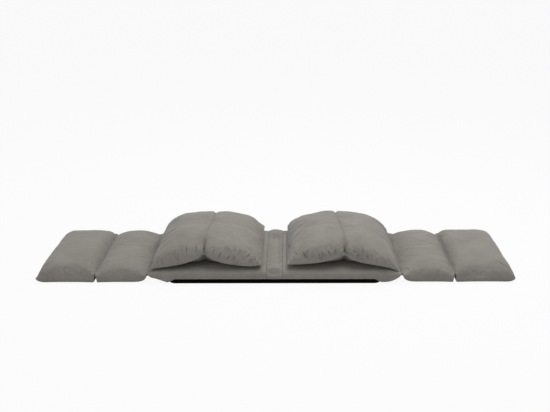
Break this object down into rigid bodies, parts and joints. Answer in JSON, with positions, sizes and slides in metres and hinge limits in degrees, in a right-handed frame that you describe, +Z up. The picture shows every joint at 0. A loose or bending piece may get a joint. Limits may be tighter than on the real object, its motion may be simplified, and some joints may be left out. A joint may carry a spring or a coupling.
{
  "type": "folding floor chair",
  "caption": "Padded floor chair with a ratchet recline hinge, thick seat and back pillows, and a folding headrest and leg rest, lying fully open.",
  "frame": {"origin": "on the floor under the recline hinge, at the middle of the chair's width", "axes": "+X to the foot end, +Y to the sitter's left, +Z up"},
  "size_m": [2.0592, 0.56, 0.1928],
  "materials": {
    "upholstery": "soft suede, short nap",
    "base_fabric": "woven, matt",
    "webbing": "elastic weave",
    "foam": "open-cell foam",
    "frame_paint": "black powder coat",
    "hinge_steel": "zinc plated",
    "spring_steel": "oiled",
    "fastener_steel": "zinc plated"
  },
  "bodies": {
    "seat": {"seat_base_cover": "base_fabric", "seat_frame": "frame_paint", "seat_cross_tubes": "frame_paint", "seat_webbing": "webbing", "seat_foam": "foam", "seat_pad_cover": "upholstery", "seat_pillow": "upholstery", "hinge_gusset": "upholstery", "legrest_hinge_seam": "upholstery", "right_outer_cheek": "hinge_steel", "right_inner_cheek": "hinge_steel", "right_pawl_spring": "spring_steel", "left_outer_cheek": "hinge_steel", "left_inner_cheek": "hinge_steel", "left_pawl_spring": "spring_steel", "pivot_bolts": "fastener_steel", "pawl_pins": "fastener_steel", "seat_bolts": "fastener_steel"},
    "back": {"back_base_cover": "base_fabric", "back_frame": "frame_paint", "back_cross_tubes": "frame_paint", "back_webbing": "webbing", "back_foam": "foam", "back_pad_cover": "upholstery", "back_pillow": "upholstery", "headrest_hinge_seam": "upholstery", "back_bolts": "fastener_steel", "right_ratchet_plate": "hinge_steel", "left_ratchet_plate": "hinge_steel"},
    "headrest": {"headrest_inner_pillow": "upholstery", "headrest_channel_seam": "upholstery"},
    "headrest_tip": {"headrest_outer_pillow": "upholstery"},
    "legrest": {"legrest_inner_pillow": "upholstery", "legrest_channel_seam": "upholstery"},
    "legrest_tip": {"legrest_outer_pillow": "upholstery"},
    "right_pawl": {"right_pawl": "hinge_steel"},
    "left_pawl": {"left_pawl": "hinge_steel"}
  },
  "joints": [
    {"name": "back_recline", "type": "hinge", "parent": "seat", "child": "back", "pos_m": [0, 0, 0.034], "axis": [0, 1, 0], "range_deg": [0, 81], "deforming": ["hinge_gusset"]},
    {"name": "headrest_fold", "type": "hinge", "parent": "back", "child": "headrest", "pos_m": [-0.547, 0, 0.04], "axis": [0, 1, 0], "range_deg": [0, 75]},
    {"name": "headrest_tip_fold", "type": "hinge", "parent": "headrest", "child": "headrest_tip", "pos_m": [-0.773, 0, 0.04], "axis": [0, 1, 0], "range_deg": [0, 100]},
    {"name": "legrest_fold", "type": "hinge", "parent": "seat", "child": "legrest", "pos_m": [0.547, 0, 0.04], "axis": [0, -1, 0], "range_deg": [0, 75]},
    {"name": "legrest_tip_fold", "type": "hinge", "parent": "legrest", "child": "legrest_tip", "pos_m": [0.773, 0, 0.04], "axis": [0, -1, 0], "range_deg": [0, 100]},
    {"name": "right_pawl_click", "type": "hinge", "parent": "seat", "child": "right_pawl", "pos_m": [0.04, -0.23825, 0.013], "axis": [0, 1, 0], "range_deg": [0, 3.5]},
    {"name": "left_pawl_click", "type": "hinge", "parent": "seat", "child": "left_pawl", "pos_m": [0.04, 0.23825, 0.013], "axis": [0, 1, 0], "range_deg": [0, 3.5]}
  ]
}
